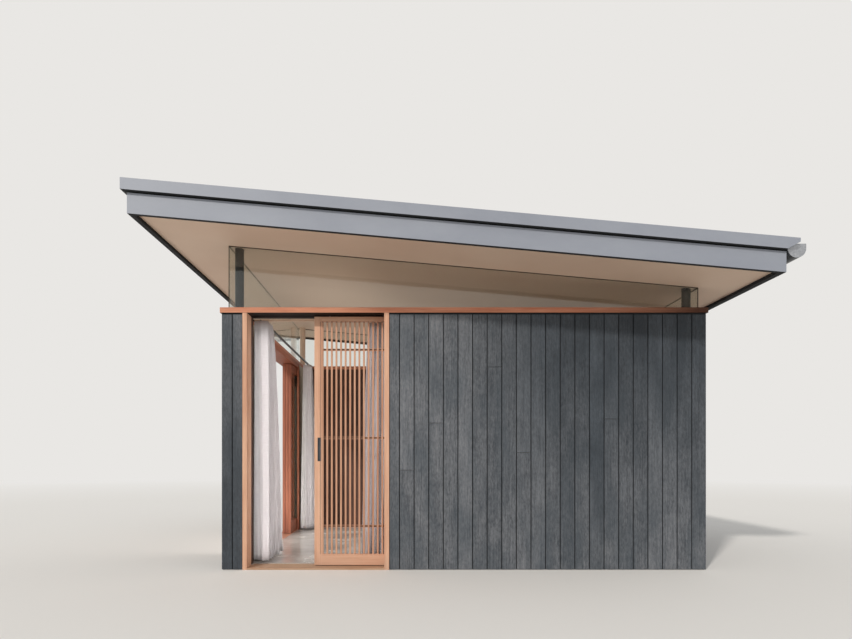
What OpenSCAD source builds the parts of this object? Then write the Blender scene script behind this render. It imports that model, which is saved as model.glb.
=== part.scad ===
/* [Walls] */
// Width of the pod over its cladding
body_w = 4360; // [4000:20:5200]
// Depth of the pod over its cladding
body_d = 3950; // [3600:50:4800]
// Height of the walls up to the timber plates
wall_h = 2310; // [2200:10:2500]
// Thickness of the front wall, which holds the screen's pocket
front_wall_t = 250; // [230:5:320]
// Thickness of the left wall, which holds the leaves' pocket
left_wall_t = 162; // [156:2:220]
// Thickness of the back and right walls
wall_t = 160; // [120:5:240]
// Thickness of the charred cladding boards
clad_t = 22; // [16:1:30]
// Gap under the cladding
clad_gap = 4; // [2:1:12]
// Height of the polished floor above the ground
floor_h = 22; // [16:1:60]

/* [Plates] */
// Height of the timber plates that cap the walls
plate_h = 47; // [40:1:80]
// How far the plates stand proud of the cladding
plate_lip = 12; // [6:1:30]

/* [Front doorway] */
// From the left corner to the clear opening
door_x = 229; // [200:1:500]
// Clear width between the jambs
door_w = 1234; // [1000:1:1400]
// Width of the left jamb seen from the front
left_jamb_w = 39; // [30:1:60]
// Width of the right jamb seen from the front
right_jamb_w = 44; // [30:1:60]
// Depth of the left jamb
jamb_d = 164; // [150:1:220]
// How far the jambs stand proud of the cladding
jamb_lip = 8; // [4:1:10]
// Height of the timber sill
sill_h = 16; // [10:1:22]

/* [Sliding screen] */
// Width of the screen
screen_w = 1286; // [1240:1:1400]
// Thickness of the screen's frame
screen_t = 40; // [30:1:50]
// From the cladding's face back to the screen
screen_set = 120; // [110:1:140]
// Clearance round the screen in its pocket
screen_gap = 10; // [6:1:14]
// Clearance between the screen and the sill
screen_lift = 8; // [5:1:12]
// Clearance between the screen and the plate above it
screen_drop = 10; // [6:1:16]
// Width of the screen's stiles
stile_w = 66; // [50:1:90]
// Height of the screen's top rail
top_rail_h = 44; // [36:1:80]
// Height of the screen's bottom rail
bottom_rail_h = 100; // [70:1:160]
// Number of upright slats
slat_count = 28; // [16:1:34]
// Width of one slat
slat_w = 16; // [10:1:20]
// Depth of one slat
slat_d = 18; // [10:1:22]
// Number of cross laths behind the slats
lath_count = 3; // [2:1:5]
// Height of one cross lath
lath_h = 20; // [14:1:30]
// From the rails to the nearest cross lath
lath_inset = 255; // [150:5:400]
// Length of the recessed pull
pull_h = 216; // [120:2:300]
// Width of the recessed pull
pull_w = 30; // [24:1:40]
// From the pull to the stile's inner edge
pull_in = 7; // [4:1:12]
// Height of the pull's lower end above the ground
pull_z = 976; // [800:1:1100]
// How far the screen stands from the left jamb in the photographed position
screen_open = 590; // [100:1:650]

/* [Side doorway] */
// From the front face to the side opening
side_y = 1050; // [900:10:1300]
// From the back face to the side opening
side_rear = 760; // [740:10:1000]
// Height of the frame's head over the side opening
side_head_h = 65; // [45:1:110]
// Width of the side opening's jambs
side_jamb_w = 36; // [30:1:60]
// How far the side opening's frame stands into the room
side_proud = 16; // [0:1:20]
// How far each glazed leaf laps behind the next one when shut
leaf_lap = 55; // [20:1:80]
// Thickness of each glazed leaf
leaf_t = 32; // [28:1:34]
// Clearance between the leaves
leaf_gap = 5; // [5:1:8]
// Width of the leaves' stiles
leaf_stile_w = 92; // [60:1:120]
// Height of the leaves' bottom rail
leaf_rail_h = 155; // [90:1:200]
// How far the leaves go into their pocket
leaf_tuck = 512; // [400:1:520]
// How far short of that the leaves stand in the photographed position
leaf_out = 226; // [222:1:240]
// Thickness of the leaves' glass
leaf_glass_t = 8; // [5:1:12]

/* [Clerestory] */
// From the cladding's face back to the glass
glass_set = 55; // [40:1:90]
// Thickness of the glass
glass_t = 10; // [8:1:16]
// Width of the clear joint at the glass corners
glass_joint = 0.3; // [0.2:0.1:4]
// Diameter of the round steel corner posts
post_d = 80; // [60:1:88]
// From the cladding's faces to the centre of a post
post_set = 130; // [118:1:150]

/* [Roof] */
// Slope of the roof in degrees, falling to the right
roof_pitch = 5.1; // [3:0.1:7]
// Height of the soffit over the middle of the pod
soffit_z = 2740; // [2700:10:3000]
// Overhang at the front and the back
eave_front = 675; // [500:5:800]
// Overhang at the high, left side
eave_left = 567; // [450:1:700]
// Overhang at the low, right side
eave_right = 336; // [250:1:450]
// Thickness of the soffit and ceiling lining
lining_t = 9; // [6:1:18]
// Height of the fascia boards
fascia_h = 165; // [140:1:200]
// Thickness of the fascia boards
fascia_t = 45; // [30:1:60]
// How far the fascia hangs below the soffit
fascia_drop = 28; // [10:1:40]
// Shadow gap between the fascia and the capping
shadow_gap = 11; // [6:1:20]
// Height of the folded capping
cap_h = 93; // [80:1:120]
// How far the capping stands proud of the fascia
cap_lip = 40; // [25:1:60]
// Width of the capping's top, from its face
cap_w = 120; // [100:1:160]
// Height of the roof sheet's ribs
rib_h = 24; // [16:1:29]
// Distance between the roof sheet's ribs
rib_pitch = 406; // [200:1:500]

/* [Gutter] */
// Outer radius of the half-round gutter
gutter_r = 74; // [60:1:90]
// Height of the gutter's straight sides over its half-round bottom
gutter_side = 37; // [20:1:40]
// Thickness of the gutter's sheet
gutter_t = 3; // [2:0.5:5]
// Gap between the gutter and the fascia
gutter_gap = 10; // [6:1:14]
// From the roof sheet down to the gutter's rim
gutter_drop = 12; // [10:1:24]
// Number of brackets that hold the gutter
bracket_count = 7; // [3:1:12]

/* [Curtains] */
// Height of the curtain tracks over the underside of the plates
track_rise = 8; // [-20:1:30]
// Width and height of the curtain tracks
track_s = 18; // [14:1:24]
// From the inner wall faces to the middle of the tracks
track_set = 124; // [124:1:150]
// Depth of the gathered folds
fold_d = 200; // [140:2:210]
// Length of track taken up by one fold
fold_pitch = 62; // [50:1:90]
// Gap between the curtains and the floor
curtain_gap = 14; // [8:1:30]
// From the front wall to the curtain gathered in the corner
corner_gap = 40; // [20:5:120]
// Length of the curtain gathered behind the side opening
rear_stack = 390; // [300:10:400]
// Length of the curtain gathered beside the doorway
door_stack = 520; // [300:10:600]

/* [Hidden] */

$fn = 48;
// A hair's breadth between solids that lie beside each other without being joined
seat = 0.3;

// Outer faces of the cladding
left_x = -body_w / 2;
right_x = body_w / 2;
front_y = -body_d / 2;
back_y = body_d / 2;
// Faces of the wall frames, behind the cladding
frame_left = left_x + clad_t;
frame_right = right_x - clad_t;
frame_front = front_y + clad_t;
frame_back = back_y - clad_t;
// Faces of the walls inside the room
room_left = left_x + left_wall_t;
room_right = right_x - wall_t;
room_front = front_y + front_wall_t;
room_back = back_y - wall_t;
plate_z = wall_h + plate_h;

// Front doorway
door_left = left_x + door_x;
door_right = door_left + door_w;
jamb_left = door_left - left_jamb_w;
jamb_right = door_right + right_jamb_w;
screen_y = front_y + screen_set;
pocket_front = screen_y - screen_gap;
pocket_back = screen_y + screen_t + screen_gap;
screen_x = door_left + screen_open;
screen_flush = 10;
screen_travel = door_right - screen_flush - screen_x;
pocket_spare = 17;
pocket_end = screen_x + screen_w + screen_travel + pocket_spare;
screen_z = sill_h + screen_lift;
screen_top = wall_h - screen_drop;
slat_set = 6;
lath_d = 14;
lath_lap = 6;
pull_x = screen_x + stile_w - pull_in - pull_w;
pull_tray = 14;
pull_lip = 1.5;
pull_wall = 3;
hanger_in = 140;
slat_run = screen_w - 2 * stile_w - slat_w;
slat_pitch = slat_run / (slat_count - 1);

// Track over the doorway, let into the underside of the front plate
track_w = 44;
track_h = 34;
track_wall = 4;
track_slot = 14;
track_y = screen_y + screen_t / 2;
hanger_pin_d = 8;
wheel_d = 20;
wheel_w = 28;

// Side opening and its stack of three leaves
side_front = front_y + side_y;
side_back = back_y - side_rear;
side_h = wall_h - side_head_h;
leaf_stack = 3 * leaf_t + 2 * leaf_gap;
leaf_skin = 12;
leaf_side = 6;
leaf_x = frame_left + leaf_skin + leaf_side;
leaf_z = floor_h + leaf_side;
leaf_h = side_h - leaf_side - leaf_z;
leaf_hide = 6;
leaf_w = (side_back - side_front + 2 * leaf_lap + leaf_hide) / 3;
leaf_park = side_back + leaf_tuck - leaf_out - leaf_w;
side_pocket_end = side_back + leaf_tuck + 2 * leaf_side;
roller_d = 30;
roller_w = 10;

// Roof planes are given by their height over the soffit
roof_left = left_x - eave_left;
roof_right = right_x + eave_right;
roof_front = front_y - eave_front;
roof_back = back_y + eave_front;
fascia_top = fascia_h - fascia_drop;
cap_z = fascia_top + shadow_gap;
cap_top = cap_z + cap_h;
cap_sheet_t = 3;
cap_fold = 66;
deck_set = cap_fold - cap_lip;
sheet_t = 3;
sheet_z = cap_top - cap_sheet_t - (rib_h + sheet_t) / cos(roof_pitch) - seat;
rib_top = 34;
rib_foot = 70;
cap_end_in = 8;
cap_cut_x = 99;
cap_cut_z = 62;
gutter_rise = sheet_z - gutter_drop - gutter_side;
bracket_w = 30;
bracket_in = 150;
bracket_low = 62;
bracket_h = 34;

// Height of the soffit at a distance from the middle of the pod
function soffit_at(x) = soffit_z - x * tan(roof_pitch);

// A slab that follows the roof's slope, between two heights over the soffit
module roof_slab(x0, x1, y0, y1, h0, h1) {
  translate([0, y1, 0])
    rotate([90, 0, 0])
      linear_extrude(y1 - y0)
        polygon([
          [x0, soffit_at(x0) + h0],
          [x1, soffit_at(x1) + h0],
          [x1, soffit_at(x1) + h1],
          [x0, soffit_at(x0) + h1]
        ]);
}

// A box between two opposite corners
module box(low, high) {
  translate(low) cube(high - low);
}

// Ground and walls

module floor_slab() {
  color("gainsboro")
    difference() {
      box([frame_left, frame_front, 0], [frame_right, frame_back, floor_h]);
      // Rebates for the jambs and the two timber sills
      box([jamb_left, front_y - 1, -1], [door_left + 1, front_y + jamb_d, floor_h + 1]);
      box([door_left, front_y - 1, -1], [door_right, room_front, floor_h + 1]);
      box([door_right - 1, front_y - 1, -1], [jamb_right, pocket_front, floor_h + 1]);
      box([left_x - 1, side_front - side_jamb_w, -1], [room_left, side_back + side_jamb_w, floor_h + 1]);
    }
}

// Short wall left of the doorway, and the solid end right of the pocket
module front_wall() {
  color("dimgray") {
    box([frame_left, frame_front, floor_h], [jamb_left, room_front, wall_h]);
    box([jamb_left - 1, front_y + jamb_d, floor_h], [door_left, room_front, wall_h]);
    box([pocket_end, frame_front, floor_h], [frame_right, room_front, wall_h]);
  }
}

module front_wall_outer_leaf() {
  color("dimgray")
    box([jamb_right, frame_front, floor_h], [pocket_end, pocket_front, wall_h]);
}

module front_wall_inner_leaf() {
  color("linen")
    box([door_right, pocket_back, floor_h], [pocket_end, room_front, wall_h]);
}

module left_wall() {
  color("linen") {
    box([frame_left, room_front, floor_h], [room_left, side_front - side_jamb_w, wall_h]);
    box([frame_left, side_pocket_end, floor_h], [room_left, room_back, wall_h]);
  }
}

// Two skins beside the side opening, with the leaves' pocket between them
module left_wall_pocket() {
  skin_in = leaf_x + leaf_stack + leaf_side;
  color("linen") {
    box([frame_left, side_back + side_jamb_w, floor_h], [frame_left + leaf_skin, side_pocket_end, wall_h]);
    box([skin_in, side_back + side_jamb_w, floor_h], [room_left, side_pocket_end, wall_h]);
  }
}

module right_wall() {
  color("linen")
    box([room_right, room_front, floor_h], [frame_right, room_back, wall_h]);
}

module back_wall() {
  color("saddlebrown")
    box([frame_left, room_back, floor_h], [frame_right, frame_back, wall_h]);
}

module front_cladding() {
  color("darkslategray") {
    box([left_x, front_y, clad_gap], [jamb_left, frame_front, wall_h]);
    box([jamb_right, front_y, clad_gap], [right_x, frame_front, wall_h]);
  }
}

module left_cladding() {
  color("darkslategray") {
    box([left_x, frame_front, clad_gap], [frame_left, side_front - side_jamb_w, wall_h]);
    box([left_x, side_back + side_jamb_w, clad_gap], [frame_left, frame_back, wall_h]);
  }
}

module right_cladding() {
  color("darkslategray")
    box([frame_right, frame_front, clad_gap], [right_x, frame_back, wall_h]);
}

module back_cladding() {
  color("darkslategray")
    box([left_x, frame_back, clad_gap], [right_x, back_y, wall_h]);
}

// Plates

module front_plate() {
  color("sienna")
    difference() {
      box([left_x - plate_lip, front_y - plate_lip, wall_h], [right_x + plate_lip, room_front, plate_z]);
      // Rebate for the track
      box([door_left, track_y - track_w / 2, wall_h - 1],
        [pocket_end, track_y + track_w / 2, wall_h + track_h]);
    }
}

module side_plates() {
  color("sienna") {
    box([left_x - plate_lip, room_front, wall_h], [room_left, room_back, plate_z]);
    box([room_right, room_front, wall_h], [right_x + plate_lip, room_back, plate_z]);
  }
}

module back_plate() {
  color("sienna")
    box([left_x - plate_lip, room_back, wall_h], [right_x + plate_lip, back_y + plate_lip, plate_z]);
}

// Front doorway

module door_jambs() {
  color("peru") {
    box([jamb_left, front_y - jamb_lip, 0], [door_left, front_y + jamb_d, wall_h]);
    box([door_right, front_y - jamb_lip, 0], [jamb_right, pocket_front, wall_h]);
  }
}

module door_sill() {
  color("peru")
    box([door_left, front_y - jamb_lip, 0], [door_right, room_front, sill_h]);
}

// Inverted channel with a slot for the hangers
module door_track() {
  color("black")
    difference() {
      box([door_left, track_y - track_w / 2, wall_h], [pocket_end, track_y + track_w / 2, wall_h + track_h]);
      box([door_left - 1, track_y - track_w / 2 + track_wall, wall_h + track_wall],
        [pocket_end - track_wall, track_y + track_w / 2 - track_wall, wall_h + track_h - track_wall]);
      box([door_left - 1, track_y - track_slot / 2, wall_h - 1],
        [pocket_end - track_wall, track_y + track_slot / 2, wall_h + track_wall + 1]);
    }
}

// Sliding screen

module screen_stiles() {
  color("burlywood")
    difference() {
      union() {
        box([screen_x, screen_y, screen_z], [screen_x + stile_w, screen_y + screen_t, screen_top]);
        box([screen_x + screen_w - stile_w, screen_y, screen_z],
          [screen_x + screen_w, screen_y + screen_t, screen_top]);
      }
      pull_recess();
    }
}

module pull_recess() {
  box([pull_x, screen_y - 1, pull_z], [pull_x + pull_w, screen_y + pull_tray, pull_z + pull_h]);
}

module screen_rails() {
  x0 = screen_x + stile_w;
  x1 = screen_x + screen_w - stile_w;
  color("burlywood") {
    box([x0, screen_y, screen_z], [x1, screen_y + screen_t, screen_z + bottom_rail_h]);
    box([x0, screen_y, screen_top - top_rail_h], [x1, screen_y + screen_t, screen_top]);
  }
}

// Upright slats in front, halved over the cross laths behind them
module screen_slats() {
  low = screen_z + bottom_rail_h;
  high = screen_top - top_rail_h;
  x0 = screen_x + stile_w;
  slat_y = screen_y + slat_set;
  lath_y = slat_y + slat_d - lath_lap;
  color("burlywood") {
    for (i = [0 : slat_count - 1])
      box([x0 + i * slat_pitch, slat_y, low], [x0 + i * slat_pitch + slat_w, slat_y + slat_d, high]);
    for (i = [0 : lath_count - 1])
      let (z = low + lath_inset + (high - low - 2 * lath_inset) * i / (lath_count - 1))
        box([x0, lath_y, z - lath_h / 2], [screen_x + screen_w - stile_w, lath_y + lath_d, z + lath_h / 2]);
  }
}

// Dark metal tray let into the stile
module screen_pull() {
  color("dimgray")
    difference() {
      box([pull_x, screen_y - pull_lip, pull_z], [pull_x + pull_w, screen_y + pull_tray, pull_z + pull_h]);
      box([pull_x + pull_wall, screen_y - pull_lip - 1, pull_z + pull_wall],
        [pull_x + pull_w - pull_wall, screen_y + pull_tray - pull_wall, pull_z + pull_h - pull_wall]);
    }
}

// Two pins, each under a wide wheel that runs on both lips of the track
module screen_hangers() {
  wheel_z = wall_h + track_wall + wheel_d / 2 + seat;
  color("silver")
    for (x = [screen_x + hanger_in, screen_x + screen_w - hanger_in]) {
      translate([x, track_y, screen_top]) cylinder(d = hanger_pin_d, h = wheel_z - screen_top);
      translate([x, track_y - wheel_w / 2, wheel_z])
        rotate([-90, 0, 0]) cylinder(d = wheel_d, h = wheel_w);
    }
}

// Side doorway

module side_frame() {
  low = left_x - plate_lip;
  high = room_left + side_proud;
  color("chocolate") {
    box([low, side_front - side_jamb_w, floor_h], [high, side_front, side_h]);
    box([low, side_back, floor_h], [leaf_x - leaf_side, side_back + side_jamb_w, side_h]);
    box([leaf_x + leaf_stack + leaf_side, side_back, floor_h], [high, side_back + side_jamb_w, side_h]);
    box([low, side_front - side_jamb_w, side_h], [high, side_back + side_jamb_w, wall_h]);
  }
}

module side_sill() {
  color("chocolate")
    box([left_x - plate_lip, side_front - side_jamb_w, 0], [room_left, side_back + side_jamb_w, floor_h]);
}

// Timber frame of one leaf with two rollers under it, parked at the rear of the opening
module leaf_frame(track) {
  x0 = leaf_x + track * (leaf_t + leaf_gap);
  color("chocolate") {
    difference() {
      box([x0, leaf_park, leaf_z], [x0 + leaf_t, leaf_park + leaf_w, leaf_z + leaf_h]);
      box([x0 - 1, leaf_park + leaf_stile_w, leaf_z + leaf_rail_h],
        [x0 + leaf_t + 1, leaf_park + leaf_w - leaf_stile_w, leaf_z + leaf_h - leaf_stile_w]);
    }
    for (y = [leaf_park + leaf_stile_w, leaf_park + leaf_w - leaf_stile_w])
      translate([x0 + (leaf_t - roller_w) / 2, y, floor_h + seat + roller_d / 2])
        rotate([0, 90, 0]) cylinder(d = roller_d, h = roller_w);
  }
}

module leaf_glass(track) {
  x0 = leaf_x + track * (leaf_t + leaf_gap) + (leaf_t - leaf_glass_t) / 2;
  color("lightblue", 0.4)
    box([x0, leaf_park + leaf_stile_w, leaf_z + leaf_rail_h],
      [x0 + leaf_glass_t, leaf_park + leaf_w - leaf_stile_w, leaf_z + leaf_h - leaf_stile_w]);
}

module front_leaf_frame() { leaf_frame(2); }
module front_leaf_glass() { leaf_glass(2); }
module middle_leaf_frame() { leaf_frame(1); }
module middle_leaf_glass() { leaf_glass(1); }
module rear_leaf_frame() { leaf_frame(0); }
module rear_leaf_glass() { leaf_glass(0); }

// Clerestory

// A pane across the slope, standing on the plates and reaching the soffit
module sloped_pane(y0) {
  x0 = left_x + glass_set;
  x1 = right_x - glass_set;
  translate([0, y0 + glass_t, 0])
    rotate([90, 0, 0])
      linear_extrude(glass_t)
        polygon([[x0, plate_z], [x1, plate_z], [x1, soffit_at(x1) - seat], [x0, soffit_at(x0) - seat]]);
}

// A level pane along one side
module side_pane(x0) {
  y0 = front_y + glass_set + glass_t + glass_joint;
  y1 = back_y - glass_set - glass_t - glass_joint;
  translate([0, y1, 0])
    rotate([90, 0, 0])
      linear_extrude(y1 - y0)
        polygon([[x0, plate_z], [x0 + glass_t, plate_z],
          [x0 + glass_t, soffit_at(x0 + glass_t) - seat], [x0, soffit_at(x0) - seat]]);
}

module front_glass() {
  color("lightblue", 0.4) sloped_pane(front_y + glass_set);
}

module back_glass() {
  color("lightblue", 0.4) sloped_pane(back_y - glass_set - glass_t);
}

module side_glass() {
  color("lightblue", 0.4) {
    side_pane(left_x + glass_set);
    side_pane(right_x - glass_set - glass_t);
  }
}

module corner_posts() {
  color("black")
    difference() {
      for (x = [left_x + post_set, right_x - post_set], y = [front_y + post_set, back_y - post_set])
        translate([x, y, plate_z]) cylinder(d = post_d, h = soffit_at(x) - plate_z + post_d);
      roof_slab(left_x, right_x, front_y, back_y, -seat, 3 * post_d);
    }
}

// Roof

module ceiling_lining() {
  set_in = fascia_t + seat;
  color("tan")
    roof_slab(roof_left + set_in, roof_right - set_in, roof_front + set_in, roof_back - set_in, 0, lining_t);
}

// Rafters and lining boards as one block, then the boards and edge battens under the sheet
module roof_deck() {
  set_in = fascia_t + seat;
  low = cap_z + cap_sheet_t + seat;
  high = cap_top - cap_sheet_t - seat;
  out = cap_lip - cap_sheet_t - seat;
  color("dimgray") {
    roof_slab(roof_left + set_in, roof_right - set_in,
      roof_front + set_in, roof_back - set_in, lining_t + seat, fascia_top - seat);
    roof_slab(roof_left + deck_set, roof_right - deck_set,
      roof_front + deck_set, roof_back - deck_set, fascia_top + seat, sheet_z - seat);
    roof_slab(roof_left - out, roof_right - deck_set,
      roof_front - out, roof_front + deck_set, low, high);
    roof_slab(roof_left - out, roof_right - deck_set,
      roof_back - deck_set, roof_back + out, low, high);
    roof_slab(roof_left - out, roof_left + deck_set, roof_front - out, roof_back + out, low, high);
  }
}

// Boards along the four edges, with a hair's breadth at the corners
module fascias() {
  low = -fascia_drop;
  inner_front = roof_front + fascia_t + seat;
  inner_back = roof_back - fascia_t - seat;
  color("lightslategray") {
    roof_slab(roof_left, roof_right, roof_front, roof_front + fascia_t, low, fascia_top);
    roof_slab(roof_left, roof_right, roof_back - fascia_t, roof_back, low, fascia_top);
    roof_slab(roof_left, roof_left + fascia_t, inner_front, inner_back, low, fascia_top);
    roof_slab(roof_right - fascia_t, roof_right, inner_front, inner_back, low, fascia_top);
  }
}

// Sheet folded under, up and over the edge batten at the front or the back
module barge_cap(y_face, inward) {
  x0 = roof_left - cap_lip;
  x1 = roof_right - cap_end_in;
  x2 = x1 + cap_cut_x;
  face = y_face + inward * cap_sheet_t;
  fold = y_face + inward * cap_fold;
  far = y_face + inward * cap_w;
  intersection() {
    union() {
      roof_slab(x0, x2, min(y_face, face), max(y_face, face), cap_z, cap_top);
      roof_slab(x0, x2, min(y_face, fold), max(y_face, fold), cap_z, cap_z + cap_sheet_t);
      roof_slab(x0, x2, min(y_face, far), max(y_face, far), cap_top - cap_sheet_t, cap_top);
      roof_slab(x0, x0 + cap_sheet_t, min(y_face, fold), max(y_face, fold), cap_z, cap_top);
    }
    // The end over the gutter is cut on the slant
    translate([0, max(y_face, far), 0])
      rotate([90, 0, 0])
        linear_extrude(cap_w)
          polygon([
            [x0, soffit_at(x0) + cap_z],
            [x1, soffit_at(x1) + cap_z],
            [x2, soffit_at(x2) + cap_z + cap_cut_z],
            [x2, soffit_at(x2) + cap_top],
            [x0, soffit_at(x0) + cap_top]
          ]);
  }
}

module roof_capping() {
  y0 = roof_front - cap_lip + cap_w + seat;
  y1 = roof_back + cap_lip - cap_w - seat;
  x0 = roof_left - cap_lip;
  color("slategray") {
    barge_cap(roof_front - cap_lip, 1);
    barge_cap(roof_back + cap_lip, -1);
    roof_slab(x0, x0 + cap_sheet_t, y0, y1, cap_z, cap_top);
    roof_slab(x0, x0 + cap_fold, y0, y1, cap_z, cap_z + cap_sheet_t);
    roof_slab(x0, x0 + cap_w, y0, y1, cap_top - cap_sheet_t, cap_top);
  }
}

// Outline of the ribbed sheet's upper or lower face, from the front to the back
function rib_edge(y0, y1, start, count, h) = concat(
  [[y0, h]],
  [for (i = [0 : count - 1], k = [[-1, 0], [-rib_top / rib_foot, 1], [rib_top / rib_foot, 1], [1, 0]])
    [start + i * rib_pitch + k[0] * rib_foot / 2, h + k[1] * rib_h]],
  [[y1, h]]
);

// Thin sheet folded into ribs that run down the slope to the gutter
module roof_sheeting() {
  y0 = roof_front + deck_set + seat;
  y1 = roof_back - deck_set - seat;
  x0 = roof_left + deck_set + seat;
  x1 = roof_right + gutter_gap + gutter_r * 0.7;
  count = floor((y1 - y0 - 2 * rib_foot) / rib_pitch) + 1;
  start = (y0 + y1 - (count - 1) * rib_pitch) / 2;
  under = rib_edge(y0, y1, start, count, 0);
  points = len(under);
  color("slategray")
    translate([x0, 0, soffit_at(x0) + sheet_z])
      rotate([0, roof_pitch, 0])
        rotate([90, 0, 90])
          linear_extrude((x1 - x0) / cos(roof_pitch))
            polygon(concat(
              rib_edge(y0, y1, start, count, sheet_t),
              [for (i = [0 : points - 1]) under[points - 1 - i]]
            ));
}

// Section of a trough with a half-round bottom and straight sides
module trough(r, side) {
  difference() {
    circle(r = r);
    translate([-r - 1, 0]) square([2 * r + 2, r + 1]);
  }
  translate([-r, 0]) square([2 * r, side]);
}

module gutter() {
  x = roof_right + gutter_gap + gutter_r;
  y0 = roof_front;
  y1 = roof_back;
  color("silver")
    translate([x, y1, soffit_at(roof_right) + gutter_rise])
      rotate([90, 0, 0]) {
        linear_extrude(y1 - y0)
          difference() {
            trough(gutter_r, gutter_side);
            trough(gutter_r - gutter_t, gutter_side + 1);
          }
        for (z = [0, y1 - y0 - gutter_t])
          translate([0, 0, z]) linear_extrude(gutter_t) trough(gutter_r, gutter_side);
        // Brackets that hold it to the fascia
        for (i = [0 : bracket_count - 1])
          translate([0, 0, bracket_in + (y1 - y0 - 2 * bracket_in - bracket_w) * i / (bracket_count - 1)])
            linear_extrude(bracket_w)
              difference() {
                translate([-gutter_r - gutter_gap, -bracket_low])
                  square([gutter_gap + gutter_r / 2, bracket_h]);
                circle(r = gutter_r - gutter_t / 2);
              }
      }
}

// Curtains

left_track_x = room_left + track_set;
front_track_y = room_front + track_set;
track_z = wall_h + track_rise;
curtain_top = track_z - track_s / 2 - seat;
curtain_low = floor_h + curtain_gap;
curtain_in = 20;
fold_wave = 0.14;
fold_steps = 6;
door_curtain_in = -230;

module curtain_tracks() {
  half = track_s / 2;
  color("black") {
    box([left_track_x - half, front_track_y + half + seat, track_z - half],
      [left_track_x + half, room_back, track_z + half]);
    box([room_left, front_track_y - half, track_z - half],
      [room_right, front_track_y + half, track_z + half]);
  }
}

// Closed outline of a cloth gathered in folds along the Y axis
function fold_edge(y, side) = side * (fold_d / 2) * (1 - fold_wave + fold_wave * cos(360 * y / fold_pitch));

module gathered(y0, y1, z0, z1) {
  steps = round((y1 - y0) / fold_pitch * fold_steps);
  ys = [for (i = [0 : steps]) y0 + (y1 - y0) * i / steps];
  translate([0, 0, z0])
    linear_extrude(z1 - z0)
      polygon(concat(
        [for (y = ys) [fold_edge(y, 1), y]],
        [for (i = [0 : steps]) [fold_edge(ys[steps - i], -1), ys[steps - i]]]
      ));
}

module corner_curtain() {
  color("white")
    translate([left_track_x, 0, 0])
      gathered(room_front + corner_gap, side_front - curtain_in, curtain_low, curtain_top);
}

module rear_curtain() {
  start = side_back + curtain_in;
  color("white")
    translate([left_track_x, 0, 0]) gathered(start, start + rear_stack, curtain_low, curtain_top);
}

module door_curtain() {
  start = door_right + door_curtain_in;
  color("white")
    translate([0, front_track_y, 0])
      rotate([0, 0, -90]) gathered(start, start + door_stack, curtain_low, curtain_top);
}

floor_slab();
front_wall();
front_wall_outer_leaf();
front_wall_inner_leaf();
left_wall();
left_wall_pocket();
right_wall();
back_wall();
front_cladding();
left_cladding();
right_cladding();
back_cladding();
front_plate();
side_plates();
back_plate();
door_jambs();
door_sill();
door_track();
side_frame();
side_sill();
front_glass();
side_glass();
back_glass();
corner_posts();
ceiling_lining();
roof_deck();
fascias();
roof_capping();
roof_sheeting();
gutter();
curtain_tracks();
corner_curtain();
rear_curtain();
door_curtain();
screen_stiles();
screen_rails();
screen_slats();
screen_pull();
screen_hangers();
front_leaf_frame();
front_leaf_glass();
middle_leaf_frame();
middle_leaf_glass();
rear_leaf_frame();
rear_leaf_glass();
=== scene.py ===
import math

import bpy
import numpy as np
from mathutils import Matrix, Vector


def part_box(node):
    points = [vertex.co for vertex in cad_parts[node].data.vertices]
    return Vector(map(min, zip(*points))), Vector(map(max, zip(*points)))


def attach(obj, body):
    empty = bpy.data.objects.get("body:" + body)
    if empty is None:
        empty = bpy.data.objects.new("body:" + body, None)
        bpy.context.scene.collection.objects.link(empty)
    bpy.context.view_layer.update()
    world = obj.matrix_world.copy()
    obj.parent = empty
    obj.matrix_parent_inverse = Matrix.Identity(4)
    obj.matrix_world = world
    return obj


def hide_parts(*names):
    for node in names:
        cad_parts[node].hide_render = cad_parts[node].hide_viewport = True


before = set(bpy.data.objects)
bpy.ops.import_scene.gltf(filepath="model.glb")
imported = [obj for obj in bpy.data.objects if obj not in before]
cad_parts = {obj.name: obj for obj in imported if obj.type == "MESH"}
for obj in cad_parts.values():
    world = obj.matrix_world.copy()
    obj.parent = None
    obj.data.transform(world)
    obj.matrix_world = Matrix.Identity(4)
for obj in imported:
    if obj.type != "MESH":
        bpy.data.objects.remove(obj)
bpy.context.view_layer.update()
print("garden pod: the frame is loaded")

scene = bpy.context.scene
scene.view_settings.view_transform = "Standard"

# Camera

view = {
    "photoWidth": 852,
    "photoHeight": 639,
    "vanishX": 407.4,        # pixel where the lines that run away from the viewer meet
    "vanishY": 459.1,
    "place": (-0.5085, -7.975, 0.995),
    "sensor": 36.0,
    "lens": 28.2,
}


def addCamera():
    data = bpy.data.cameras.new("photoCamera")
    data.sensor_width = view["sensor"]
    data.lens = view["lens"]
    data.shift_x = (view["photoWidth"] / 2 - view["vanishX"]) / view["photoWidth"]
    data.shift_y = (view["vanishY"] - view["photoHeight"] / 2) / view["photoWidth"]
    data.clip_end = 300
    camera = bpy.data.objects.new("photoCamera", data)
    camera.location = view["place"]
    camera.rotation_euler = (math.radians(90), 0, 0)
    scene.collection.objects.link(camera)
    scene.camera = camera


addCamera()


# Node trees written as sums

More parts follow.
